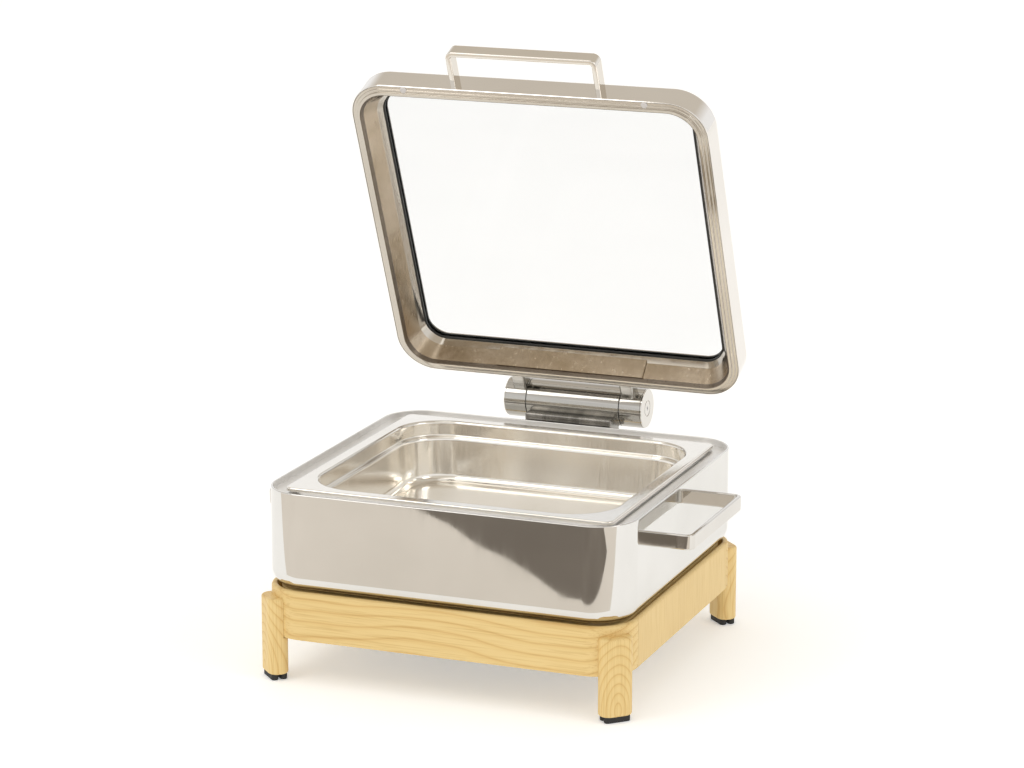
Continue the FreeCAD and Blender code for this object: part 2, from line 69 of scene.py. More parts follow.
def make_object(name, bm, material, body, node=(), swing=False, sharp=32.0):
    """Finish a bmesh as one smooth shaded piece riding on a CAD body."""
    bmesh.ops.remove_doubles(bm, verts=bm.verts, dist=1e-7)
    bmesh.ops.recalc_face_normals(bm, faces=bm.faces)
    if swing:
        bm.transform(SWING)
    mesh = bpy.data.meshes.new(name)
    bm.to_mesh(mesh)
    bm.free()
    mesh.shade_smooth()
    mesh.set_sharp_from_angle(angle=math.radians(sharp))
    obj = bpy.data.objects.new(name, mesh)
    bpy.context.scene.collection.objects.link(obj)
    mesh.materials.append(material)
    weighted = obj.modifiers.new("weighted", "WEIGHTED_NORMAL")
    weighted.keep_sharp = True
    weighted.weight = 80
    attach(obj, body)
    if node:
        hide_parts(*node)
    return obj


def loop(a, b, r, z):
    """Rounded rectangle about the body centre, as a list of points."""
    points = []
    corners = ((1, 1, 0), (-1, 1, 90), (-1, -1, 180), (1, -1, 270))
    for sx, sy, start in corners:
        for i in range(CORNER_STEPS + 1):
            t = math.radians(start + 90 * i / CORNER_STEPS)
            x = sx * (a - r) + r * math.cos(t)
            y = sy * (b - r) + r * math.sin(t)
            points.append(Vector((x, CY + y, z)))
    return points


def circle_like(points, radius, z):
    """Circle with one point for each point of a loop, at the same bearing."""
    out = []
    for p in points:
        d = Vector((p.x, p.y - CY, 0)).normalized()
        out.append(Vector((d.x * radius, CY + d.y * radius, z)))
    return out


def skin(bm, loops, closed=True, cap_first=False, cap_last=False):
    """Join successive loops of equal point counts with quads."""
    rings = [[bm.verts.new(p) for p in points] for points in loops]
    pairs = list(zip(rings, rings[1:]))
    if closed:
        pairs.append((rings[-1], rings[0]))
    for low, high in pairs:
        count = len(low)
        for i in range(count):
            j = (i + 1) % count
            bm.faces.new((low[i], low[j], high[j], high[i]))
    if cap_first:
        bm.faces.new(rings[0])
    if cap_last:
        bm.faces.new(rings[-1])


def fillet(c_inset, c_z, radius, start, stop, steps):
    """Points (inset, z) on an arc about a centre; angles in degrees."""
    out = []
    for i in range(steps + 1):
        t = math.radians(start + (stop - start) * i / steps)
        out.append((c_inset + radius * math.cos(t), c_z + radius * math.sin(t)))
    return out


def rect_loops(a, b, r, profile):
    """Loops for a profile of (inset, z) points; the corners shrink with the inset."""
    least = 0.5 * MM
    return [loop(a - inset, b - inset, max(r - inset, least), z) for inset, z in profile]


def lathe(bm, profile, y, z):
    """Revolve (x, radius) points about the X axis line through y, z."""
    n = 96
    loops = []
    for x, radius in profile:
        points = []
        for i in range(n):
            t = 2 * math.pi * i / n
            points.append(Vector((x, y + radius * math.cos(t), z + radius * math.sin(t))))
        loops.append(points)
    skin(bm, loops)


def soft_box(bm, lo, hi, radius):
    """Box with rounded edges."""
    part = bmesh.new()
    size = hi - lo
    place = Matrix.Translation((lo + hi) / 2) @ Matrix.Diagonal((*size, 1.0))
    bmesh.ops.create_cube(part, size=1.0, matrix=place)
    bmesh.ops.bevel(
        part, geom=part.edges[:], offset=radius, segments=4,
        profile=0.5, affect="EDGES", clamp_overlap=True)
    mesh = bpy.data.meshes.new("soft_box")
    part.to_mesh(mesh)
    part.free()
    bm.from_mesh(mesh)
    bpy.data.meshes.remove(mesh)


def section(width, height, radius, n=5):
    """Rounded rectangle section as (u, v) points about its centre."""
    out = []
    corners = ((1, 1, 0), (-1, 1, 90), (-1, -1, 180), (1, -1, 270))
    for sx, sy, start in corners:
        for i in range(n + 1):
            t = math.radians(start + 90 * i / n)
            u = sx * (width / 2 - radius) + radius * math.cos(t)
            v = sy * (height / 2 - radius) + radius * math.sin(t)
            out.append((u, v))
    return out


def sweep(bm, path, up, shape):
    """Sweep a section along a path that lies across the up direction."""
    loops = []
    last = len(path) - 1
    for i, point in enumerate(path):
        tangent = (path[min(i + 1, last)] - path[max(i - 1, 0)]).normalized()
        side = tangent.cross(up).normalized()
        loops.append([point + side * u + up * v for u, v in shape])
    skin(bm, loops, closed=False, cap_first=True, cap_last=True)


def u_path(root, out, along, reach, half, radius):
    """Centre line of a U: two arms leaving root along out, joined along `along`."""
    steps = 10
    points = []
    for sign in (-1, 1):
        arm = []
        for t in (0.0, 0.5, 1.0):
            arm.append(root + along * (sign * half) + out * (t * (reach - radius)))
        centre = root + along * (sign * (half - radius)) + out * (reach - radius)
        for i in range(1, steps + 1):
            t = math.pi / 2 * i / steps
            arm.append(centre + along * (sign * radius * math.cos(t)) + out * (radius * math.sin(t)))
        if sign > 0:
            arm.reverse()
        points += arm
    return points


# ---------------------------------------------------------------- materials

def new_material(name):
    mat = bpy.data.materials.new(name)
    mat.use_nodes = True
    tree = mat.node_tree
    return mat, tree, tree.nodes["Principled BSDF"]


def add(tree, kind, **values):
    node = tree.nodes.new(kind)
    for key, value in values.items():
        if hasattr(node, key):
            setattr(node, key, value)
        else:
            node.inputs[key.replace("_", " ")].default_value = value
    return node


def mapped(tree, scale, rotation=(0, 0, 0)):
    coords = add(tree, "ShaderNodeTexCoord")
    mapping = add(tree, "ShaderNodeMapping")
    mapping.inputs["Scale"].default_value = scale
    mapping.inputs["Rotation"].default_value = rotation
    tree.links.new(coords.outputs["Object"], mapping.inputs["Vector"])
    return mapping.outputs["Vector"]


def noise(tree, vector, scale, detail=3.0, rough=0.5):
    node = add(tree, "ShaderNodeTexNoise")
    node.inputs["Scale"].default_value = scale
    node.inputs["Detail"].default_value = detail
    node.inputs["Roughness"].default_value = rough
    tree.links.new(vector, node.inputs["Vector"])
    return node.outputs["Fac"]


def ramp(tree, fac, stops):
    node = add(tree, "ShaderNodeValToRGB")
    elements = node.color_ramp.elements
    while len(elements) < len(stops):
        elements.new(0.5)
    for element, (place, colour) in zip(elements, stops):
        element.position = place
        element.color = (*colour, 1.0)
    tree.links.new(fac, node.inputs["Fac"])
    return node.outputs["Color"]


def spread(tree, fac, low, high, from_low=0.3, from_high=0.7):
    node = add(tree, "ShaderNodeMapRange")
    node.inputs["From Min"].default_value = from_low
    node.inputs["From Max"].default_value = from_high
    node.inputs["To Min"].default_value = low
    node.inputs["To Max"].default_value = high
    tree.links.new(fac, node.inputs["Value"])
    return node.outputs["Result"]


def bump(tree, height, strength, distance, normal=None):
    node = add(tree, "ShaderNodeBump")
    node.inputs["Strength"].default_value = strength
    node.inputs["Distance"].default_value = distance
    tree.links.new(height, node.inputs["Height"])
    if normal is not None:
        tree.links.new(normal, node.inputs["Normal"])
    return node.outputs["Normal"]


def mix(tree, fac, first, second, blend="MIX"):
    node = add(tree, "ShaderNodeMix", data_type="RGBA", blend_type=blend)
    for socket, value in ((node.inputs[0], fac), (node.inputs[6], first), (node.inputs[7], second)):
        if isinstance(value, bpy.types.NodeSocket):
            tree.links.new(value, socket)
        elif isinstance(value, tuple):
            socket.default_value = (*value, 1.0)
        else:
            socket.default_value = value
    return node.outputs[2]


def polished_steel(name, low, high, rough=(0.02, 0.07), wave=0.35):
    """Mirror polished stainless: faint waviness, wiping marks and fine hairlines."""
    mat, tree, shader = new_material(name)
    shader.inputs["Metallic"].default_value = 1.0
    everywhere = mapped(tree, (1, 1, 1))
    cloud = noise(tree, everywhere, 9.0, 3.0)
    tint = ramp(tree, cloud, [(0.3, low), (0.7, high)])
    tree.links.new(tint, shader.inputs["Base Color"])
    wipe = noise(tree, mapped(tree, (30, 34, 6), rotation=(0.3, 0.2, 0.5)), 3.0, 6.0, 0.65)
    tree.links.new(spread(tree, wipe, *rough), shader.inputs["Roughness"])
    waves = noise(tree, everywhere, 11.0, 1.0)
    hair = noise(tree, mapped(tree, (900, 900, 25)), 1.0, 2.0)
    soft = bump(tree, waves, wave, 0.0012)
    fine = bump(tree, hair, 0.02, 0.0002, soft)
    tree.links.new(fine, shader.inputs["Normal"])
    return mat


def satin_steel(name, low, high, rough=(0.16, 0.3), grain=(500, 500, 18), strength=0.08,
                stain_and_reflection_scale=(14, 14, 14)):
    """Drawn stainless with a brushed grain and soft cloudy stains; a stretched stain scale draws the same
    noise out into painted reflection streaks.
    """
    mat, tree, shader = new_material(name)
    shader.inputs["Metallic"].default_value = 1.0
    everywhere = mapped(tree, (1, 1, 1))
    cloud = noise(tree, mapped(tree, stain_and_reflection_scale), 1.0, 4.0, 0.6)
    tree.links.new(ramp(tree, cloud, [(0.28, low), (0.72, high)]), shader.inputs["Base Color"])
    lines = noise(tree, mapped(tree, grain), 1.0, 3.0, 0.6)
    tree.links.new(spread(tree, lines, *rough), shader.inputs["Roughness"])
    waves = bump(tree, noise(tree, everywhere, 16.0, 1.0), 0.3, 0.0008)
    tree.links.new(bump(tree, lines, strength, 0.0002, waves), shader.inputs["Normal"])
    return mat


def wood(name, turn, pith, stretch=0.10, rings=40.0, wander=0.06, strength=1.0):
    """Ash: growth rings about a pith line along local X, pores drawn out along it."""
    mat, tree, shader = new_material(name)
    coords = add(tree, "ShaderNodeTexCoord")
    place = add(tree, "ShaderNodeMapping")
    place.vector_type = "TEXTURE"
    place.inputs["Location"].default_value = pith
    place.inputs["Rotation"].default_value = turn
    tree.links.new(coords.outputs["Object"], place.inputs["Vector"])
    local = place.outputs["Vector"]

    def stretched(scale):
        node = add(tree, "ShaderNodeMapping")
        node.inputs["Scale"].default_value = scale
        tree.links.new(local, node.inputs["Vector"])
        return node.outputs["Vector"]

    drift = add(tree, "ShaderNodeTexNoise")
    drift.inputs["Scale"].default_value = 8.0
    drift.inputs["Detail"].default_value = 1.5
    tree.links.new(stretched((0.6, 1, 1)), drift.inputs["Vector"])
    centred = add(tree, "ShaderNodeVectorMath", operation="SUBTRACT")
    centred.inputs[1].default_value = (0.5, 0.5, 0.5)
    tree.links.new(drift.outputs["Color"], centred.inputs[0])
    scaled = add(tree, "ShaderNodeVectorMath", operation="MULTIPLY")
    scaled.inputs[1].default_value = (0.0, wander, wander)
    tree.links.new(centred.outputs[0], scaled.inputs[0])
    moved = add(tree, "ShaderNodeVectorMath", operation="ADD")
    tree.links.new(stretched((stretch, 1, 1)), moved.inputs[0])
    tree.links.new(scaled.outputs[0], moved.inputs[1])
    wave = add(
        tree, "ShaderNodeTexWave", wave_type="RINGS", rings_direction="SPHERICAL", wave_profile="SAW")
    wave.inputs["Scale"].default_value = rings
    wave.inputs["Distortion"].default_value = 0.4
    wave.inputs["Detail"].default_value = 2.0
    wave.inputs["Detail Scale"].default_value = 2.0
    tree.links.new(moved.outputs[0], wave.inputs["Vector"])
    early = (0.815, 0.610, 0.270)
    middle = (0.775, 0.550, 0.220)
    late = (0.640, 0.395, 0.125)
    rings_tint = ramp(tree, wave.outputs["Fac"], [
        (0.0, middle), (0.15, early), (0.55, early), (0.82, middle), (0.93, late), (1.0, middle)])
    base = mix(tree, strength, early, rings_tint)
    pores = noise(tree, stretched((16, 700, 700)), 1.0, 2.0, 0.6)
    pore_tint = ramp(tree, pores, [(0.32, (0.80, 0.72, 0.58)), (0.50, (1.0, 1.0, 1.0))])
    patches = noise(tree, stretched((2, 14, 14)), 1.0, 2.0)
    patch_tint = ramp(tree, patches, [(0.3, (0.95, 0.93, 0.89)), (0.7, (1.0, 1.0, 1.0))])
    colour = mix(tree, 0.6, base, pore_tint, "MULTIPLY")
    colour = mix(tree, 1.0, colour, patch_tint, "MULTIPLY")
    tree.links.new(colour, shader.inputs["Base Color"])
    tree.links.new(spread(tree, pores, 0.55, 0.42), shader.inputs["Roughness"])
    shader.inputs["Coat Weight"].default_value = 0.08
    shader.inputs["Coat Roughness"].default_value = 0.3
    ring_bump = bump(tree, wave.outputs["Fac"], 0.08 * strength, 0.0002)
    tree.links.new(bump(tree, pores, 0.2, 0.0002, ring_bump), shader.inputs["Normal"])
    return mat


def plain(name, low, high, metallic, rough, scale=60.0, strength=0.15):
    """Moulded or machined finish: mottled colour, uneven gloss, fine texture."""
    mat, tree, shader = new_material(name)
    shader.inputs["Metallic"].default_value = metallic
    cloud = noise(tree, mapped(tree, (1, 1, 1)), scale, 4.0, 0.6)
    tree.links.new(ramp(tree, cloud, [(0.3, low), (0.7, high)]), shader.inputs["Base Color"])
    tree.links.new(spread(tree, cloud, *rough), shader.inputs["Roughness"])
    grain = noise(tree, mapped(tree, (1, 1, 1)), scale * 14, 2.0)
    tree.links.new(bump(tree, grain, strength, 0.0003), shader.inputs["Normal"])
    return mat


def clear(name, low, high, rough, ior):
    mat, tree, shader = new_material(name)
    shader.inputs["Transmission Weight"].default_value = 1.0
    shader.inputs["IOR"].default_value = ior
    cloud = noise(tree, mapped(tree, (1, 1, 1)), 9.0, 3.0)
    tree.links.new(ramp(tree, cloud, [(0.3, low), (0.7, high)]), shader.inputs["Base Color"])
    smear = noise(tree, mapped(tree, (9, 9, 30), rotation=(0.4, 0.1, 0.3)), 2.0, 5.0, 0.65)
    tree.links.new(spread(tree, smear, *rough), shader.inputs["Roughness"])
    tree.links.new(bump(tree, cloud, 0.04, 0.0002), shader.inputs["Normal"])
    return mat


mirror = polished_steel("steel_mirror", (0.69, 0.68, 0.655), (0.75, 0.74, 0.72))
mirror_lid = polished_steel(
    "steel_mirror_lid", (0.78, 0.75, 0.715), (0.83, 0.805, 0.775), (0.04, 0.10))
mirror_trim = polished_steel(
    "steel_mirror_trim", (0.67, 0.645, 0.61), (0.73, 0.71, 0.675), (0.03, 0.08), 0.15)
# darker tan base tones: painted reflection of warm surroundings in the lid rim and liner steps
rim_painted_reflection = polished_steel(
    "steel_rim_painted_reflection", (0.55, 0.505, 0.44), (0.63, 0.585, 0.52), (0.06, 0.14), 0.12)
# tan base tones: painted reflection on the lid handle, darker than the bare steel
grip_painted_reflection = polished_steel(
    "steel_grip_painted_reflection", (0.72, 0.68, 0.62), (0.78, 0.74, 0.685), (0.03, 0.09), 0.15)
# near black brown tones: painted shade in the crease under the lid rim
crease_painted_shade = satin_steel("steel_crease_painted_shade", (0.16, 0.13, 0.10), (0.24, 0.20, 0.16), (0.25, 0.4))
# brown base tones: painted reflection of warm surroundings on the liner slope and the hinge cover plate
liner_painted_reflection = satin_steel(
    "steel_liner_painted_reflection", (0.36, 0.28, 0.185), (0.60, 0.51, 0.40), (0.18, 0.28), (300, 300, 14), 0.03)
# warm tones: the steel's own tint plus a painted reflection of rice in the pan
pan_steel_painted_reflection = satin_steel("steel_pan_painted_reflection", (0.84, 0.805, 0.745), (0.90, 0.87, 0.82), (0.10, 0.2))
satin_gutter = satin_steel("steel_gutter", (0.88, 0.87, 0.855), (0.94, 0.93, 0.915), (0.34, 0.46))
# dark to bright streaks along the hinge axis: painted reflection on the polished barrel, knuckles and
# plate
barrel_painted_reflection = satin_steel(
    "steel_barrel_painted_reflection", (0.24, 0.23, 0.205), (0.80, 0.775, 0.735), (0.06, 0.14),
    (6, 260, 260), 0.03, (1.2, 60, 60))
# very dark streaked tones: painted dark reflection on the hinge neck
neck_painted_reflection = satin_steel(
    "steel_neck_painted_reflection", (0.10, 0.095, 0.085), (0.42, 0.40, 0.37), (0.2, 0.32),
    (6, 300, 300), 0.05, (60, 1.5, 1.5))
satin_plain = satin_steel("steel_plain", (0.55, 0.545, 0.54), (0.66, 0.655, 0.65), (0.28, 0.42))
screw_steel = plain(
    "steel_screws", (0.55, 0.55, 0.55), (0.66, 0.66, 0.66), 1.0, (0.22, 0.38), 120.0)
aluminium = plain("aluminium_core", (0.72, 0.73, 0.74), (0.80, 0.81, 0.82), 1.0, (0.3, 0.45), 90.0)
bronze = plain("bronze_bush", (0.50, 0.34, 0.15), (0.62, 0.44, 0.22), 1.0, (0.25, 0.4), 90.0)
rubber = plain(
    "rubber_feet", (0.010, 0.010, 0.010), (0.024, 0.023, 0.022), 0.0, (0.55, 0.75), 70.0, 0.3)
silicone = plain(
    "silicone_black", (0.008, 0.008, 0.008), (0.020, 0.020, 0.019), 0.0, (0.35, 0.5), 50.0, 0.15)
glass = clear("glass_tempered", (0.89, 0.90, 0.915), (0.905, 0.915, 0.93), (0.0, 0.01), 1.12)
bumper_soft = plain(
    "bumper_soft", (0.54, 0.51, 0.49), (0.65, 0.62, 0.60), 0.0, (0.28, 0.42), 80.0, 0.1)


# ---------------------------------------------------------------- body shell

def soften(points, radius, steps=3):
    """Round the corners of an open polyline of (inset, z) points."""
    out = [points[0]]
    for before, corner, after in zip(points, points[1:], points[2:]):
        b, c, a = Vector(before), Vector(corner), Vector(after)
        reach = min(radius, (b - c).length * 0.45, (a - c).length * 0.45)
        start = c + (b - c).normalized() * reach
        stop = c + (a - c).normalized() * reach
        for i in range(steps + 1):
            t = i / steps
            p = start * (1 - t) ** 2 + c * (2 * t * (1 - t)) + stop * t ** 2
            out.append((p.x, p.y))
    out.append(points[-1])
    return out


BOTTOM = body_lo.z
EDGE = 18 * MM
WALL = 1.5 * MM
GUTTER = 6.4 * MM
HEM = 2.2 * MM
cap_lo, cap_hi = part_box("base_cap")
HOLE = (cap_hi.x - cap_lo.x) / 2 + 0.2 * MM

outer = fillet(EDGE, BOTTOM + EDGE, EDGE, 270, 180, 14)
outer += [(0.0, BOTTOM + 40 * MM), (0.0, LIP - 12 * MM)]
outer += fillet(0.9 * MM, LIP - 0.9 * MM, 0.9 * MM, 180, 90, 5)
inner = fillet(HEM - 0.7 * MM, LIP - 0.7 * MM, 0.7 * MM, 90, 0, 4)
inner += [(HEM, LIP - GUTTER), (WALL, LIP - GUTTER - 0.3 * MM)]
inner += fillet(EDGE, BOTTOM + EDGE, EDGE - WALL, 180, 270, 10)
shell_loops = rect_loops(A, B, BODY_R, outer + inner)
hole_low = circle_like(shell_loops[0], HOLE, BOTTOM)
hole_high = circle_like(shell_loops[-1], HOLE, BOTTOM + WALL)
bm = bmesh.new()
skin(bm, [hole_low] + shell_loops + [hole_high])
shell = make_object("body_shell_polished", bm, mirror, "chafer", ("body_shell",))
# the inside of the lip and wall is left satin
shell.data.materials.append(satin_gutter)
for face in shell.data.polygons:
    if face.index // len(hole_low) > len(outer):
        face.material_index = 1


# ---------------------------------------------------------------- food pan

pan_lo, pan_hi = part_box("food_pan")
PAN_A = (pan_hi.x - pan_lo.x) / 2
PAN_B = (pan_hi.y - pan_lo.y) / 2
TOP = pan_hi.z


def pan_profile():
    points = [(31.0 + 9.0 * math.cos(t), -56.0 + 9.0 * math.sin(t))
              for t in [math.radians(270 - 90 * i / 8) for i in range(9)]]
    wall = [(22.0, -56.0), (19.5, -19.4), (18.6, -17.0), (14.4, -16.6), (14.4, -6.0)]
    points += soften(wall, 2.6, 5)[1:]
    points += [(11.4 + 3.0 * math.cos(t), -3.0 + 3.0 * math.sin(t))
               for t in [math.radians(90 * i / 6) for i in range(7)]]
    points += [(6.0, 0.0)]
    points += [(1.6 + 1.6 * math.cos(t), -1.6 + 1.6 * math.sin(t))
               for t in [math.radians(90 + 90 * i / 5) for i in range(6)]]
    points += [(0.0, -3.7)]
    return points


def pan_corner(inset):
    """Corner radius: tight at the flange edge, wide at the well."""
    if inset < 2.0:
        return 8.0 - inset
    if inset < 11.4:
        return 6.0 + (53.0 - 6.0) * (inset - 2.0) / 9.4
    if inset < 19.0:
        return 50.0 - (inset - 14.4)
    return max(46.0 - (inset - 22.0), 30.0) if inset > 22.0 else 45.7


PAN_SHEET = 0.9
top_side = pan_profile()
under_side = []
for i, (inset, z) in enumerate(top_side):
    ahead = top_side[min(i + 1, len(top_side) - 1)]
    behind = top_side[max(i - 1, 0)]
    d = Vector((ahead[0] - behind[0], ahead[1] - behind[1])).normalized()
    under_side.append((inset - d.y * PAN_SHEET, z + d.x * PAN_SHEET))
top_loops = []
for inset, z in top_side:
    top_loops.append(loop(PAN_A - inset * MM, PAN_B - inset * MM, pan_corner(inset) * MM, TOP + z * MM))
under_loops = []
for (inset, z), (low_inset, low_z) in zip(top_side, under_side):
    corner = pan_corner(inset) + inset - low_inset
    low_z = max(low_z, -3.7) if inset < 2.0 else low_z
    under_loops.append(loop(
        PAN_A - low_inset * MM, PAN_B - low_inset * MM, corner * MM, TOP + low_z * MM))
bm = bmesh.new()
skin(bm, top_loops + under_loops[::-1], closed=False, cap_first=True, cap_last=True)
make_object("food_pan_drawn", bm, pan_steel_painted_reflection, "pan", ("food_pan",))


# ---------------------------------------------------------------- lid

Z0 = LIP + 1.5 * MM

# in mm, from the rim plane up and from the outer face in
RISE = 34.5
SHEET = 1.2
WALL_TOP = 29.0
SHOULDER = 12.0
WINDOW = 26.5
LID_R = 41.0


def lid_loop(inset, z, corner):
    """Loop about the lid axis, in mm from the outer face and from the rim plane."""
    return loop(A - inset * MM, B - inset * MM, corner * MM, Z0 + z * MM)


outside = soften([(0.0, 0.5), (0.0, WALL_TOP), (SHOULDER, RISE), (25.0, RISE)], 2.6, 6)
inside = soften([
    (25.0, RISE - SHEET), (SHOULDER + 0.6, RISE - SHEET), (SHEET, WALL_TOP - 1.0), (SHEET, 0.5)], 1.6, 4)
profile = [(SHEET - 0.3, 0.0), (0.4, 0.0)] + outside
frame_loops = [lid_loop(inset, z, max(LID_R - inset, 23.0)) for inset, z in profile]
for z in (RISE, RISE - SHEET):
    frame_loops.append(lid_loop(WINDOW, z, 22))
frame_loops += [lid_loop(inset, z, max(LID_R - inset, 23.0)) for inset, z in inside]
bm = bmesh.new()
skin(bm, frame_loops)
make_object("lid_frame_polished", bm, mirror_lid, "lid", ("lid_frame",), swing=True)

RIM_STEPS = soften([
    (1.3, 2.2), (1.3, 0.0), (4.2, 0.0), (4.2, -1.1), (7.4, -1.1), (7.4, -3.3), (10.6, -3.3),
    (12.5, 1.6), (20.6, 18.3), (24.5, 25.5), (18.0, 25.5)], 0.55, 3)
back = [(18.0, 24.5), (22.8, 24.5), (9.7, -0.5), (9.7, 2.2)]
liner_loops = []
for inset, z in RIM_STEPS + back:
    corner = LID_R - inset if inset < 9.0 else 33.0 - 9.0 * (inset - 9.0) / 15.5
    liner_loops.append(lid_loop(inset, z, corner))
bm = bmesh.new()
skin(bm, liner_loops)
liner = make_object("lid_liner_drawn", bm, rim_painted_reflection, "lid", ("lid_liner",), swing=True, sharp=40)
# painted dark shade in the crease under the rim; the satin slope inside it carries a painted brown
# reflection
liner.data.materials.append(liner_painted_reflection)
liner.data.materials.append(crease_painted_shade)
levels = [z for inset, z in RIM_STEPS]
crease = [i for i, z in enumerate(levels) if i > 0 and RIM_STEPS[i][0] > 10.0 and z < 1.3]
slope = [i for i, z in enumerate(levels) if i > 0 and RIM_STEPS[i][0] > 10.0 and 1.3 <= z < 17.9]
for face in liner.data.polygons:
    row = face.index // len(liner_loops[0])
    if row in slope:
        face.material_index = 1
    elif row in crease:
        face.material_index = 2

seal = soften([
    (18.5, 25.6), (26.4, 25.6), (26.4, 27.7), (21.2, 27.7), (21.2, 31.7), (26.4, 31.7),
    (26.4, 33.2), (18.5, 33.2), (18.5, 26.0)], 0.5, 3)
seal_loops = [lid_loop(inset, z, max(47.0 - inset, 18.0)) for inset, z in seal]
bm = bmesh.new()
skin(bm, seal_loops)
make_object("glass_seal", bm, silicone, "lid", ("glass_gasket",), swing=True)

UP = Vector((0, 0, 1))
grip_root = Vector((0, CY - B, Z0 + 17 * MM))
bm = bmesh.new()
grip_path = u_path(grip_root, Vector((0, -1, 0)), Vector((1, 0, 0)), 36.3 * MM, 80.5 * MM, 5.1 * MM)
sweep(bm, grip_path, UP, section(5.8 * MM, 16 * MM, 1.5 * MM))
make_object("lid_handle_polished", bm, grip_painted_reflection, "lid", ("lid_handle",), swing=True)


# ---------------------------------------------------------------- side handles

for side, node in ((1, "side_handle_right"), (-1, "side_handle_left")):
    lo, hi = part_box(node)
    wall = lo.x if side > 0 else hi.x
    root = Vector((wall, (lo.y + hi.y) / 2, (lo.z + hi.z) / 2))
    reach = (hi.x - lo.x) - 2.3 * MM
    half = (hi.y - lo.y) / 2 - 2.3 * MM
    bm = bmesh.new()
    path = u_path(root, Vector((side, 0, 0)), Vector((0, 1, 0)), reach, half, 7.2 * MM)
    sweep(bm, path, UP, section(4.6 * MM, hi.z - lo.z, 1.3 * MM))
    make_object(node + "_bent", bm, mirror_trim, "chafer", (node,))


# ---------------------------------------------------------------- hinge

def barrel(bm, x0, x1, radius, bore):
    edge = 0.7 * MM
    lathe(bm, [(x0, bore), (x0, radius - edge), (x0 + edge * 0.3, radius - edge * 0.3),
               (x0 + edge, radius), (x1 - edge, radius), (x1 - edge * 0.3, radius - edge * 0.3),
               (x1, radius - edge), (x1, bore)], AXIS.y, AXIS.z)


REAR = CY + B
BARREL_R = 21.98 * MM
bm = bmesh.new()
barrel(bm, -53.7 * MM, 53.7 * MM, BARREL_R, 13.5 * MM)
plate_lo = Vector((-52 * MM, REAR, LIP - 46 * MM))
plate_hi = Vector((52 * MM, REAR + 5 * MM, LIP - 4 * MM))
soft_box(bm, plate_lo, plate_hi, 1.2 * MM)
polished = len(bm.faces)
neck_lo = Vector((-50 * MM, REAR + 3 * MM, LIP - 26 * MM))
neck_hi = Vector((50 * MM, AXIS.y - 6 * MM, AXIS.z - 8 * MM))
soft_box(bm, neck_lo, neck_hi, 2.5 * MM)
# the neck faces take the painted dark reflection tones
bm.faces.ensure_lookup_table()
for face in bm.faces[polished:]:
    face.material_index = 1
bracket = make_object("hinge_bracket_polished", bm, barrel_painted_reflection, "chafer", ("hinge_bracket",))
bracket.data.materials.append(neck_painted_reflection)

for side, node in ((1, "hinge_knuckle_right"), (-1, "hinge_knuckle_left")):
    near, far = sorted((side * 54.3 * MM, side * 78.5 * MM))
    bm = bmesh.new()
    barrel(bm, near, far, BARREL_R, 7 * MM)
    x0, x1 = sorted((side * 55 * MM, side * 70 * MM))
    arm_lo = Vector((x0, REAR, Z0 + 3 * MM))
    arm_hi = Vector((x1, AXIS.y - 8 * MM, Z0 + 20.5 * MM))
    soft_box(bm, arm_lo, arm_hi, 2.5 * MM)
    make_object(node + "_polished", bm, barrel_painted_reflection, "lid", (node,), swing=True)

bm = bmesh.new()
for side in (-1, 1):
    face = [(78.5, 2.5), (78.5, 21.0), (78.8, 21.4), (79.7, 21.4), (80.1, 21.0), (80.1, 9.3),
            (79.9, 9.1), (79.3, 9.1), (79.3, 8.1), (79.9, 8.1), (80.1, 7.9), (80.1, 2.7), (79.9, 2.5)]
    lathe(bm, [(side * x * MM, r * MM) for x, r in face], AXIS.y, AXIS.z)
make_object("hinge_caps_turned", bm, mirror_trim, "lid", ("hinge_end_caps",), swing=True)


# ---------------------------------------------------------------- wooden stand

front_lo, front_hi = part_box("apron_front")
WOOD_A = (front_hi.x - front_lo.x) / 2
WOOD_B = CY - front_lo.y
WOOD_LOW = front_lo.z
WOOD_TOP = front_hi.z
WOOD_R = 44.5 * MM
THICK = 20 * MM
HEIGHT = WOOD_TOP - WOOD_LOW
side_lo, side_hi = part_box("apron_right")
JOIN = (side_hi.y - side_lo.y) / 2


def board_section():
    """Board section (outward, up) about its mid line, with the shadow groove in its top."""
    half = THICK / MM / 2
    h = HEIGHT / MM
    corners = [(half, 3.0), (half, h - 3.0), (half - 0.9, h - 0.9), (half - 3.0, h),
               (4.8, h), (4.0, h - 0.8),
               (4.0, h - 13.0), (-1.0, h - 13.0), (-1.0, h - 2.8), (-1.6, h - 2.2),
               (-half + 0.8, h - 2.2), (-half, h - 3.0), (-half, 0.8), (-half + 0.8, 0.0),
               (half - 3.0, 0.0), (half - 0.9, 0.9)]
    return [(u * MM, v * MM) for u, v in corners]


def board_path(sign):
    """Mid line of an end board: along one corner, the straight, the other corner."""
    n = 16
    r = WOOD_R - THICK / 2
    cx = WOOD_A - WOOD_R
    cy = WOOD_B - WOOD_R
    points = []
    first, second = (180, 270) if sign < 0 else (0, 90)
    for start, sx in ((first, sign), (second, -sign)):
        for i in range(n + 1):
            t = math.radians(start + 90 * i / n)
            points.append(Vector((sx * cx + r * math.cos(t), CY + sign * cy + r * math.sin(t), WOOD_LOW)))
    return points


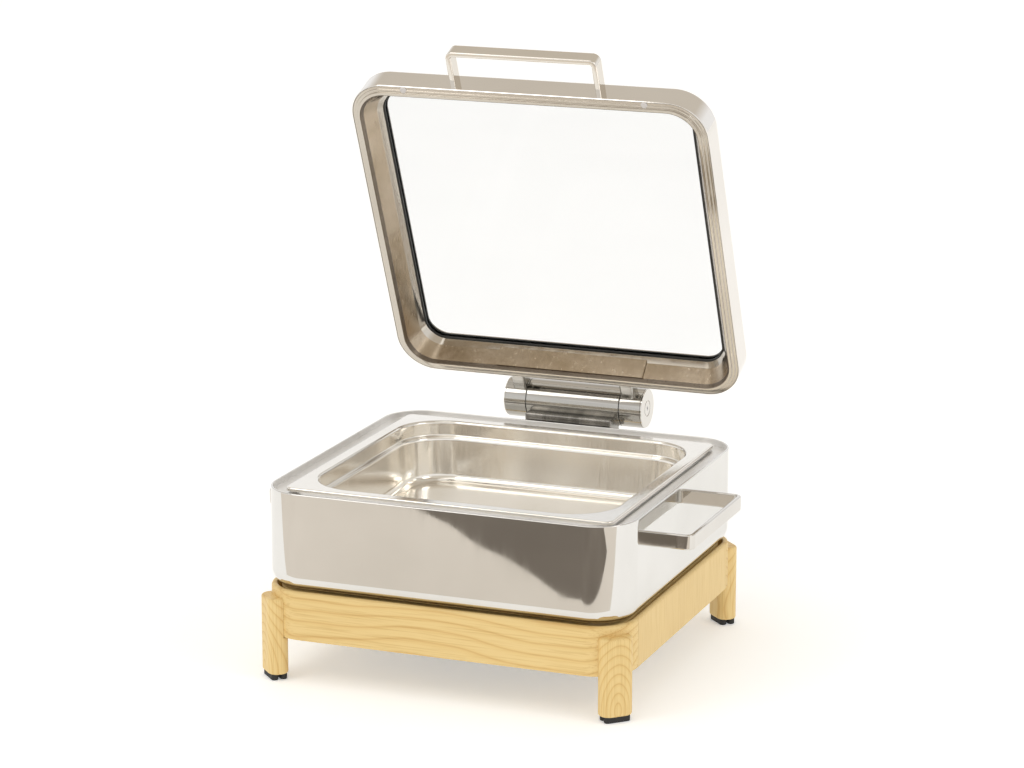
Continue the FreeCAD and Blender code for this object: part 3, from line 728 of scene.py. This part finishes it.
pith_y = 0.055
lengthwise = (0, 0, 0)
upright = (0, -math.pi / 2, 0)
board_figure = (0.16, 40.0, 0.035, 0.75)
pith_front = (0.02, CY - WOOD_B + pith_y, WOOD_LOW - 0.028)
pith_rear = (-0.03, CY + WOOD_B - pith_y, WOOD_LOW - 0.02)
wood_front = wood("ash_front", lengthwise, pith_front, *board_figure)
wood_rear = wood("ash_rear", lengthwise, pith_rear, *board_figure)
wood_right = wood("ash_right", upright, (WOOD_A + 0.10, CY - 0.55, 0.0), 0.03, 90.0, 0.02, 0.5)
wood_left = wood("ash_left", upright, (-WOOD_A - 0.10, CY - 0.60, 0.0), 0.03, 90.0, 0.02, 0.5)
boards = {"apron_front": (board_path(-1), wood_front), "apron_rear": (board_path(1), wood_rear)}
mid_x = WOOD_A - THICK / 2
boards["apron_right"] = (
    [Vector((mid_x, CY - JOIN + 2 * JOIN * t, WOOD_LOW)) for t in (0, 0.5, 1)], wood_right)
boards["apron_left"] = (
    [Vector((-mid_x, CY + JOIN - 2 * JOIN * t, WOOD_LOW)) for t in (0, 0.5, 1)], wood_left)
for node, (path, material) in boards.items():
    bm = bmesh.new()
    sweep(bm, path, UP, board_section())
    make_object(node + "_ash", bm, material, "stand", (node,), sharp=50)

LEG_WIDE = 34.6 * MM
LEG_DEEP = 21.7 * MM
legs = {
    "leg_front_left": (-1, -1), "leg_front_right": (1, -1),
    "leg_rear_left": (-1, 1), "leg_rear_right": (1, 1)}
for number, (node, (sx, sy)) in enumerate(legs.items()):
    lo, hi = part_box(node)
    centre = Vector((sx * (WOOD_A - WOOD_R), CY + sy * (WOOD_B - WOOD_R), 0))
    outward = Vector((sx, sy, 0)).normalized()
    across = Vector((-outward.y, outward.x, 0))
    middle = centre + outward * WOOD_R

    def leg_loop(z, shrink, clipped):
        points = []
        for u, v in section(LEG_WIDE - 2 * shrink, LEG_DEEP - 2 * shrink, 10.0 * MM - shrink, 10):
            p = middle + across * u + outward * v
            reach = p - centre
            if clipped and reach.length < WOOD_R + 0.15 * MM:
                p = centre + reach.normalized() * (WOOD_R + 0.15 * MM)
            points.append(Vector((p.x, p.y, z)))
        return points

    loops = []
    for i in range(5):
        t = math.radians(22.5 * i)
        loops.append(leg_loop(lo.z + 2 * MM * (1 - math.sin(t)), 2 * MM * (1 - math.cos(t)), False))
    loops.sort(key=lambda points: points[0].z)
    loops.append(leg_loop(WOOD_LOW - 0.1 * MM, 0, False))
    loops.append(leg_loop(WOOD_LOW - 0.1 * MM, 0, True))
    for i in range(6):
        t = math.radians(18 * i)
        loops.append(leg_loop(hi.z - 2.5 * MM * (1 - math.sin(t)), 2.5 * MM * (1 - math.cos(t)), True))
    bm = bmesh.new()
    skin(bm, loops, closed=False, cap_first=True, cap_last=True)
    heart = middle + outward * 0.012 + across * 0.002 * (number - 1.5)
    pith = (heart.x, heart.y, lo.z + 0.004 + 0.003 * number)
    grain = wood("ash_" + node, upright, pith, 0.45, 72.0, 0.012, 0.75)
    make_object(node + "_ash", bm, grain, "stand", (node,), sharp=50)


# ---------------------------------------------------------------- CAD nodes that stay

wood_cleat = wood("ash_cleats", lengthwise, (0.0, 0.0, 0.02))
kept = {
    # the hinge cover plate carries the liner's brown painted reflection
    "lid_glass": glass, "lid_bumpers": bumper_soft, "hinge_cover_plate": liner_painted_reflection,
    "hinge_stiffener": satin_plain, "knuckle_screws": screw_steel, "lid_handle_screws": screw_steel,
    "hinge_shaft": satin_plain, "damper_rotor": satin_plain, "hinge_end_screws": screw_steel,
    "water_pan": satin_gutter, "base_core": aluminium, "base_cap": satin_plain,
    "handle_backing_plates": satin_plain, "bracket_backing_plate": satin_plain,
    "bracket_screws": screw_steel, "hinge_bushes": bronze, "damper_housing": satin_plain,
    "apron_dowels": wood_cleat, "support_cleats": wood_cleat, "cleat_screws": screw_steel,
    "leg_bolts": screw_steel, "foot_pads": rubber, "rest_pads": silicone,
}
for node, material in kept.items():
    mesh = frame["nodes"][node].data
    mesh.materials.clear()
    mesh.materials.append(material)


# ---------------------------------------------------------------- studio

def area_light(name, place, aim, size, power):
    data = bpy.data.lights.new(name, "AREA")
    data.shape = "RECTANGLE"
    data.size, data.size_y = size
    data.energy = power
    light = bpy.data.objects.new(name, data)
    bpy.context.scene.collection.objects.link(light)
    light.location = place
    light.rotation_euler = (Vector(aim) - Vector(place)).to_track_quat("-Z", "Y").to_euler()
    return light


def felt(name, low, high, glow, tint):
    """Matt, faintly luminous studio surface."""
    mat, tree, shader = new_material(name)
    shader.inputs["Emission Color"].default_value = (*tint, 1.0)
    shader.inputs["Emission Strength"].default_value = glow
    speck = noise(tree, mapped(tree, (1, 1, 1)), 3.0, 2.0)
    tree.links.new(ramp(tree, speck, [(0.3, low), (0.7, high)]), shader.inputs["Base Color"])
    shader.inputs["Roughness"].default_value = 0.7
    shader.inputs["Specular IOR Level"].default_value = 0.1
    return mat


def card(name, corners, z, material):
    """Flat studio card low on the floor in front; only the polished steel mirrors it."""
    mesh = bpy.data.meshes.new(name)
    mesh.from_pydata([(x, y, z) for x, y in corners], [], [list(range(len(corners)))])
    mesh.materials.append(material)
    obj = bpy.data.objects.new(name, mesh)
    bpy.context.scene.collection.objects.link(obj)
    obj.visible_camera = False
    obj.visible_diffuse = False
    obj.visible_transmission = False
    obj.visible_shadow = False


FLOOR_HALF = 30.0
floor_mat = felt("studio_floor", (0.93, 0.93, 0.93), (0.95, 0.95, 0.95), 0.30, (0.90, 0.955, 1.0))
bm = bmesh.new()
bmesh.ops.create_grid(bm, x_segments=1, y_segments=1, size=FLOOR_HALF)
floor_mesh = bpy.data.meshes.new("floor")
bm.to_mesh(floor_mesh)
bm.free()
floor = bpy.data.objects.new("floor", floor_mesh)
bpy.context.scene.collection.objects.link(floor)
floor_mesh.materials.append(floor_mat)

world = bpy.data.worlds.new("studio")
world.use_nodes = True
tree = world.node_tree
split = add(tree, "ShaderNodeSeparateXYZ")
tree.links.new(add(tree, "ShaderNodeTexCoord").outputs["Generated"], split.inputs[0])
sky = ramp(tree, split.outputs["Z"], [(0.30, (1.0, 1.0, 1.0)), (0.62, (0.67, 0.615, 0.535))])
tree.links.new(sky, tree.nodes["Background"].inputs["Color"])
tree.nodes["Background"].inputs["Strength"].default_value = 1.0
bpy.context.scene.world = world

sun_data = bpy.data.lights.new("overhead", "SUN")
sun_data.energy = 0.36
sun_data.color = (0.93, 0.97, 1.0)
sun_data.angle = math.radians(50)
sun = bpy.data.objects.new("overhead", sun_data)
bpy.context.scene.collection.objects.link(sun)
sun.rotation_euler = (math.radians(12), math.radians(-14), 0)
area_light("key", (-1.8, -2.4, 2.8), (0, 0, 0.2), (1.2, 1.2), 12)
area_light("fill", (2.6, -0.6, 2.2), (0, 0, 0.2), (1.0, 1.0), 8)

grey = felt("card_grey", (0.575, 0.53, 0.475), (0.615, 0.57, 0.515), 0.32, (1.0, 0.955, 0.89))
dark = felt("card_dark", (0.19, 0.165, 0.14), (0.24, 0.21, 0.18), 0.01, (1.0, 0.97, 0.92))
card("card_front", [(-1.2, -1.9), (0.9, -1.9), (0.9, -0.4), (-1.2, -0.4)], 0.001, grey)
card("card_flag", [(-0.42, -0.98), (0.60, -1.15), (0.60, -0.60), (0.0, -0.575)], 0.002, dark)

bpy.context.scene.view_settings.view_transform = "Standard"

# camera: seen from the right front, a little above
AZ = math.radians(21.44)
EL = math.radians(13.92)
DISTANCE = 3.58
LENS = 121.6
aim = Vector((8.5 * MM, CY, TOP + 87.5 * MM))
back = Vector((math.sin(AZ) * math.cos(EL), -math.cos(AZ) * math.cos(EL), math.sin(EL)))
camera_data = bpy.data.cameras.new("camera")
camera_data.lens = LENS
camera_data.sensor_width = 36.0
camera_data.clip_end = 100.0
camera = bpy.data.objects.new("camera", camera_data)
bpy.context.scene.collection.objects.link(camera)
camera.location = aim + back * DISTANCE
camera.rotation_euler = (-back).to_track_quat("-Z", "Y").to_euler()
bpy.context.scene.camera = camera
